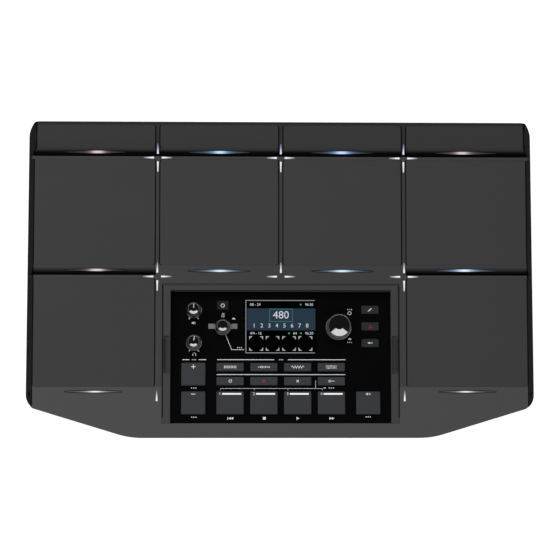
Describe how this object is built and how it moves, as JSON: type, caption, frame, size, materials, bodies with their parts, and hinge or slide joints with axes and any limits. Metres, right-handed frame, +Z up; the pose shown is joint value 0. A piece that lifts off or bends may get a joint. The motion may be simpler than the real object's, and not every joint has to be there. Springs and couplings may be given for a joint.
{
  "type": "sampling percussion pad",
  "caption": "Wedge-shaped sampling percussion pad: rubber strike pads with light lenses and star lights around a sunken control panel with knobs, buttons and a display.",
  "frame": {"origin": "on the table under the middle of the case", "axes": "+X to the player's right, +Y to the rear wall with the sockets, +Z up"},
  "size_m": [0.47, 0.2912, 0.0728],
  "materials": {
    "case_plastic": "fine moulded grain",
    "cover_plastic": "moulded grain",
    "jack_plate_steel": "satin black",
    "surround_plastic": "fine moulded grain",
    "panel_plastic": "satin black with white print",
    "display_glass": "polished clear window over a lit screen",
    "display_metal": "satin",
    "pad_rubber": "matte",
    "strike_steel": "plain",
    "foam": "open foam",
    "sensor_brass": "plain",
    "lens_plastic": "frosted, lit from inside",
    "star_plastic": "frosted, lit from inside",
    "circuit_board": "solder mask",
    "switch_plastic": "plain",
    "control_metal": "plain",
    "socket_plastic": "plain",
    "socket_metal": "plated",
    "foot_rubber": "matte",
    "screw_steel": "dark zinc",
    "rotor_plastic": "plain",
    "knob_plastic": "satin with a glossy dish",
    "shaft_metal": "turned",
    "button_plastic": "satin"
  },
  "bodies": {
    "case": {"upper_case": "case_plastic", "bottom_cover": "cover_plastic", "jack_plate": "jack_plate_steel", "panel_surround": "surround_plastic", "control_panel": "panel_plastic", "display_window": "display_glass", "display_module": "display_metal", "pad_plates": "strike_steel", "pad_cushions": "foam", "pad_sensors": "sensor_brass", "pad_light_lenses": "lens_plastic", "star_light_guides": "star_plastic", "main_board": "circuit_board", "panel_board": "circuit_board", "tact_switches": "switch_plastic", "rotary_control_bodies": "control_metal", "phone_jacks": "socket_plastic", "usb_and_power_sockets": "socket_metal", "rubber_feet": "foot_rubber", "case_screws": "screw_steel", "bar_pad_1": "pad_rubber", "main_pad_1": "pad_rubber", "bar_pad_2": "pad_rubber", "main_pad_2": "pad_rubber", "bar_pad_3": "pad_rubber", "main_pad_3": "pad_rubber", "bar_pad_4": "pad_rubber", "main_pad_4": "pad_rubber", "front_pad_left": "pad_rubber", "front_pad_right": "pad_rubber"},
    "main_volume": {"main_volume_knob": "knob_plastic", "main_volume_shaft": "shaft_metal"},
    "phones": {"phones_knob": "knob_plastic", "phones_shaft": "shaft_metal"},
    "metronome_turn": {"metronome_rotor": "rotor_plastic"},
    "metronome_push": {"metronome_knob": "knob_plastic", "metronome_shaft": "shaft_metal"},
    "value_turn": {"value_rotor": "rotor_plastic"},
    "value_push": {"value_knob": "knob_plastic", "value_shaft": "shaft_metal"},
    "mode_button_1": {"mode_button_1": "button_plastic"},
    "mode_button_2": {"mode_button_2": "button_plastic"},
    "mode_button_3": {"mode_button_3": "button_plastic"},
    "mode_button_4": {"mode_button_4": "button_plastic"},
    "function_button_1": {"function_button_1": "button_plastic"},
    "function_button_2": {"function_button_2": "button_plastic"},
    "function_button_3": {"function_button_3": "button_plastic"},
    "function_button_4": {"function_button_4": "button_plastic"},
    "track_button_1": {"track_button_1": "button_plastic"},
    "track_button_2": {"track_button_2": "button_plastic"},
    "track_button_3": {"track_button_3": "button_plastic"},
    "track_button_4": {"track_button_4": "button_plastic"},
    "edit_button": {"edit_button": "button_plastic"},
    "write_button": {"write_button": "button_plastic"},
    "exit_button": {"exit_button": "button_plastic"},
    "plus_button": {"plus_button": "button_plastic"},
    "minus_button": {"minus_button": "button_plastic"},
    "mute_button": {"mute_button": "button_plastic"},
    "power_button": {"power_button": "button_plastic"}
  },
  "joints": [
    {"name": "main_volume_turn", "type": "hinge", "parent": "case", "child": "main_volume", "pos_m": [-0.0803, -0.02798, 0.04288], "axis": [0, -0.0523, 0.9986], "range_deg": [-150, 150]},
    {"name": "phones_turn", "type": "hinge", "parent": "case", "child": "phones", "pos_m": [-0.0803, -0.05813, 0.04129], "axis": [0, -0.0523, 0.9986], "range_deg": [-150, 150]},
    {"name": "metronome_turn", "type": "hinge", "parent": "case", "child": "metronome_turn", "pos_m": [-0.0536, -0.04365, 0.04205], "axis": [0, -0.0523, 0.9986], "continuous": true},
    {"name": "metronome_push", "type": "slide", "parent": "metronome_turn", "child": "metronome_push", "axis": [0, 0.0523, -0.9986], "range_m": [0, 0.0006], "stiffness_N_per_m": 3000, "springref_m": -0.0002},
    {"name": "value_turn", "type": "hinge", "parent": "case", "child": "value_turn", "pos_m": [0.0536, -0.04365, 0.04205], "axis": [0, -0.0523, 0.9986], "continuous": true},
    {"name": "value_push", "type": "slide", "parent": "value_turn", "child": "value_push", "axis": [0, 0.0523, -0.9986], "range_m": [0, 0.0006], "stiffness_N_per_m": 3000, "springref_m": -0.0002},
    {"name": "mode_button_1_press", "type": "slide", "parent": "case", "child": "mode_button_1", "axis": [0, 0.0523, -0.9986], "range_m": [0, 0.001], "stiffness_N_per_m": 800, "springref_m": -0.0003},
    {"name": "mode_button_2_press", "type": "slide", "parent": "case", "child": "mode_button_2", "axis": [0, 0.0523, -0.9986], "range_m": [0, 0.001], "stiffness_N_per_m": 800, "springref_m": -0.0003},
    {"name": "mode_button_3_press", "type": "slide", "parent": "case", "child": "mode_button_3", "axis": [0, 0.0523, -0.9986], "range_m": [0, 0.001], "stiffness_N_per_m": 800, "springref_m": -0.0003},
    {"name": "mode_button_4_press", "type": "slide", "parent": "case", "child": "mode_button_4", "axis": [0, 0.0523, -0.9986], "range_m": [0, 0.001], "stiffness_N_per_m": 800, "springref_m": -0.0003},
    {"name": "function_button_1_press", "type": "slide", "parent": "case", "child": "function_button_1", "axis": [0, 0.0523, -0.9986], "range_m": [0, 0.001], "stiffness_N_per_m": 800, "springref_m": -0.0003},
    {"name": "function_button_2_press", "type": "slide", "parent": "case", "child": "function_button_2", "axis": [0, 0.0523, -0.9986], "range_m": [0, 0.001], "stiffness_N_per_m": 800, "springref_m": -0.0003},
    {"name": "function_button_3_press", "type": "slide", "parent": "case", "child": "function_button_3", "axis": [0, 0.0523, -0.9986], "range_m": [0, 0.001], "stiffness_N_per_m": 800, "springref_m": -0.0003},
    {"name": "function_button_4_press", "type": "slide", "parent": "case", "child": "function_button_4", "axis": [0, 0.0523, -0.9986], "range_m": [0, 0.001], "stiffness_N_per_m": 800, "springref_m": -0.0003},
    {"name": "track_button_1_press", "type": "slide", "parent": "case", "child": "track_button_1", "axis": [0, 0.0523, -0.9986], "range_m": [0, 0.001], "stiffness_N_per_m": 800, "springref_m": -0.0003},
    {"name": "track_button_2_press", "type": "slide", "parent": "case", "child": "track_button_2", "axis": [0, 0.0523, -0.9986], "range_m": [0, 0.001], "stiffness_N_per_m": 800, "springref_m": -0.0003},
    {"name": "track_button_3_press", "type": "slide", "parent": "case", "child": "track_button_3", "axis": [0, 0.0523, -0.9986], "range_m": [0, 0.001], "stiffness_N_per_m": 800, "springref_m": -0.0003},
    {"name": "track_button_4_press", "type": "slide", "parent": "case", "child": "track_button_4", "axis": [0, 0.0523, -0.9986], "range_m": [0, 0.001], "stiffness_N_per_m": 800, "springref_m": -0.0003},
    {"name": "edit_button_press", "type": "slide", "parent": "case", "child": "edit_button", "axis": [0, 0.0523, -0.9986], "range_m": [0, 0.001], "stiffness_N_per_m": 800, "springref_m": -0.0003},
    {"name": "write_button_press", "type": "slide", "parent": "case", "child": "write_button", "axis": [0, 0.0523, -0.9986], "range_m": [0, 0.001], "stiffness_N_per_m": 800, "springref_m": -0.0003},
    {"name": "exit_button_press", "type": "slide", "parent": "case", "child": "exit_button", "axis": [0, 0.0523, -0.9986], "range_m": [0, 0.001], "stiffness_N_per_m": 800, "springref_m": -0.0003},
    {"name": "plus_button_press", "type": "slide", "parent": "case", "child": "plus_button", "axis": [0, 0.0523, -0.9986], "range_m": [0, 0.001], "stiffness_N_per_m": 800, "springref_m": -0.0003},
    {"name": "minus_button_press", "type": "slide", "parent": "case", "child": "minus_button", "axis": [0, 0.0523, -0.9986], "range_m": [0, 0.001], "stiffness_N_per_m": 800, "springref_m": -0.0003},
    {"name": "mute_button_press", "type": "slide", "parent": "case", "child": "mute_button", "axis": [0, 0.0523, -0.9986], "range_m": [0, 0.001], "stiffness_N_per_m": 800, "springref_m": -0.0003},
    {"name": "power_button_press", "type": "slide", "parent": "case", "child": "power_button", "axis": [0, 0.0523, -0.9986], "range_m": [0, 0.001], "stiffness_N_per_m": 800, "springref_m": -0.0003}
  ]
}
